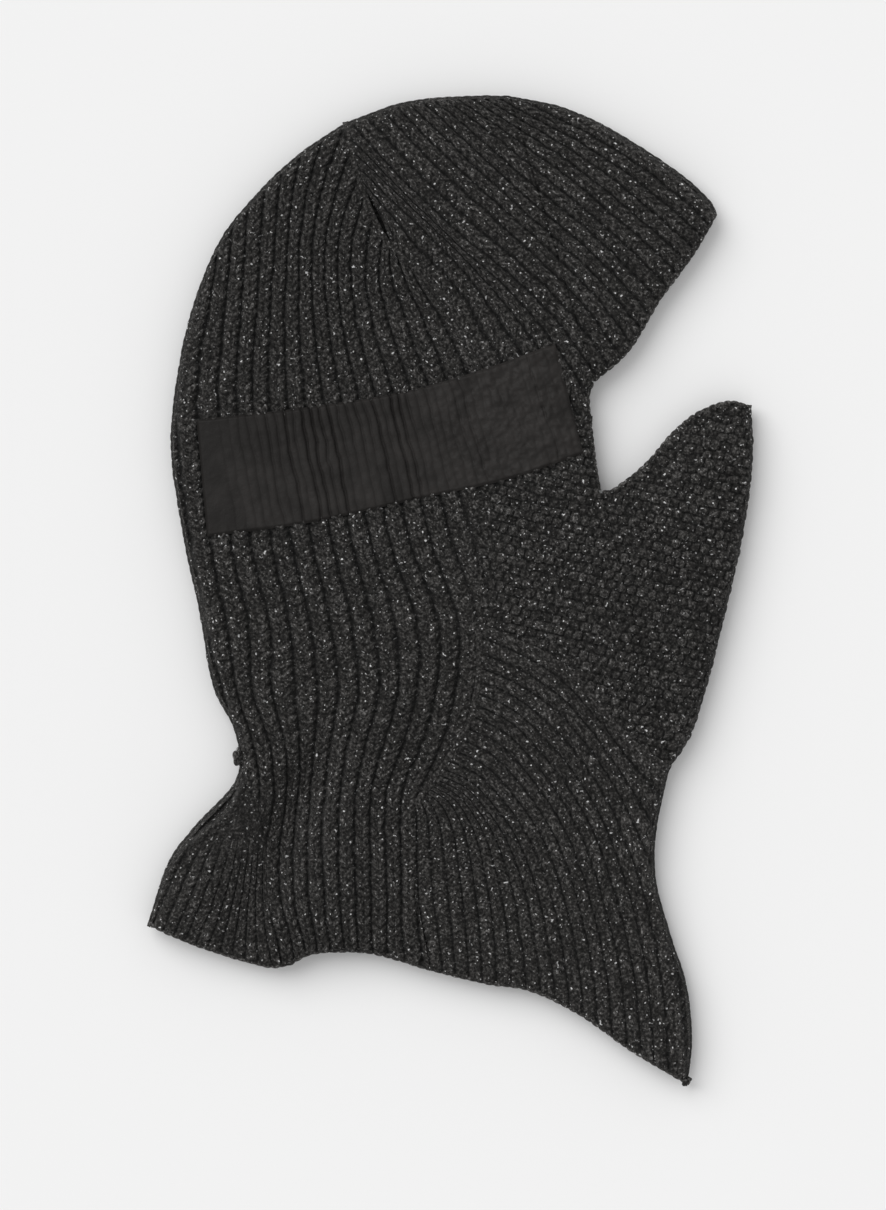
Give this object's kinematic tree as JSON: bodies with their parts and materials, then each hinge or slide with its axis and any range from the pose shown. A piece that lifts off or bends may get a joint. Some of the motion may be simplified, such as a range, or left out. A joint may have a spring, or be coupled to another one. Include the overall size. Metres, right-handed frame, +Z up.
{
  "type": "balaclava",
  "caption": "Chunky rib-knit balaclava lying flat in profile, with a brim, a mask, a long neck and a coated patch over each ear.",
  "frame": {"origin": "middle of the bounding box, at its bottom: the surface that the balaclava lies on", "axes": "+Y towards the crown, +X towards the face, +Z up from the surface, out of the right side of the garment"},
  "size_m": [0.2553, 0.4167, 0.0165],
  "materials": {
    "knit": "heather charcoal chunky rib knit, fuzzy and matte",
    "knit_edge": "heather charcoal yarn, cast-off and seamed edges",
    "coated_patch": "matt coated fabric, wrinkled over the ribs"
  },
  "bodies": {
    "hood": {"head_panel_right": "knit", "head_panel_left": "knit", "brow_panel_right": "knit", "brow_panel_left": "knit", "neck_front_panel_right": "knit", "neck_front_panel_left": "knit", "ear_patch_right": "coated_patch", "ear_patch_left": "coated_patch", "hem_edge_right": "knit_edge", "hem_edge_left": "knit_edge", "face_edge_right": "knit_edge", "face_edge_left": "knit_edge", "jaw_seam_right": "knit_edge", "jaw_seam_left": "knit_edge", "mitre_seam_right": "knit_edge", "mitre_seam_left": "knit_edge", "crown_dart_right": "knit_edge", "crown_dart_left": "knit_edge", "back_fold": "knit", "crown_fold": "knit", "neck_front_fold": "knit", "nape_gather": "knit_edge"},
    "brim": {"brim_panel_right": "knit", "brim_panel_left": "knit", "brim_edge_right": "knit_edge", "brim_edge_left": "knit_edge", "brim_top_fold": "knit"},
    "mask": {"mask_panel_right": "knit", "mask_panel_left": "knit", "mask_top_edge_right": "knit_edge", "mask_top_edge_left": "knit_edge", "mask_front_seam": "knit_edge"}
  },
  "joints": [
    {"name": "brim_fold", "type": "hinge", "parent": "hood", "child": "brim", "pos_m": [0.025, 0.2082, 0.0155], "axis": [0.2845, -0.9587, 0], "range_deg": [0, 150]},
    {"name": "mask_fold", "type": "hinge", "parent": "hood", "child": "mask", "pos_m": [0.0638, 0.0422, 0.0155], "axis": [0.2379, -0.9713, 0], "range_deg": [0, 150]}
  ]
}
